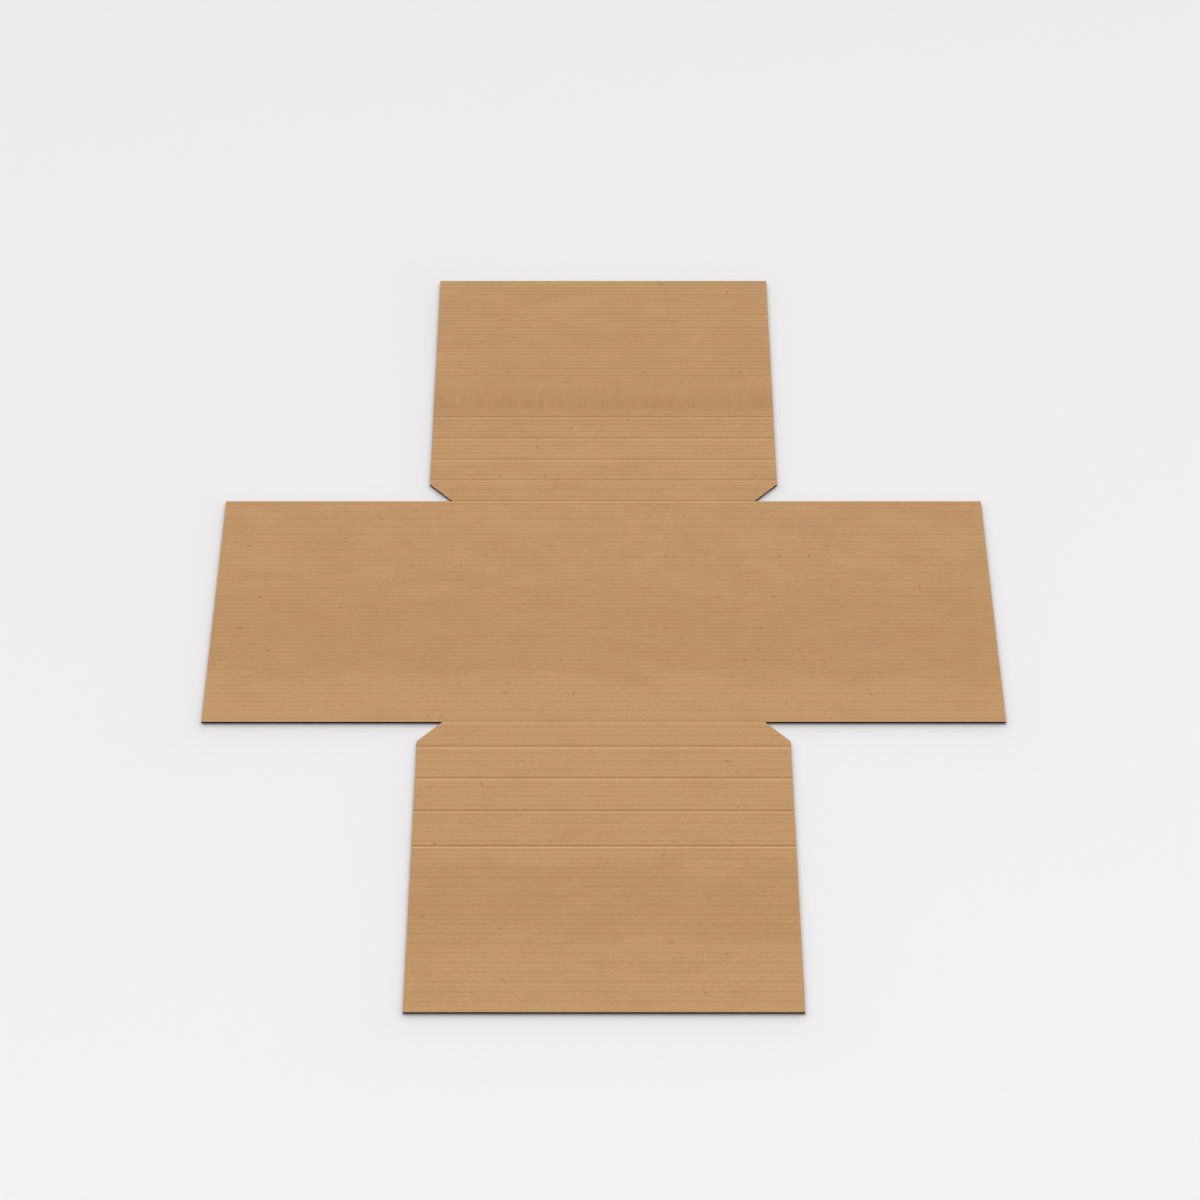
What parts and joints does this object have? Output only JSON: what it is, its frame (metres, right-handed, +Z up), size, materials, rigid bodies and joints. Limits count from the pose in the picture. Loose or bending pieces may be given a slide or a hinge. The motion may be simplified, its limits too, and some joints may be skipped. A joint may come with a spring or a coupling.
{
  "type": "flattened cardboard box",
  "caption": "Flat cross-shaped corrugated cardboard mailing box blank: a centre panel, two wings, and front and rear flaps with sloping shoulders and pressed creases.",
  "frame": {"origin": "middle of the underside, at the centre of the centre panel, on the surface the blank lies on", "axes": "+Z up out of the creased face, +Y from the front flap to the rear flap, +X from the left wing to the right wing"},
  "size_m": [0.5, 0.62, 0.0015],
  "materials": {
    "kraft_board": "matte"
  },
  "bodies": {
    "root": {"card_blank": "kraft_board"}
  },
  "joints": []
}
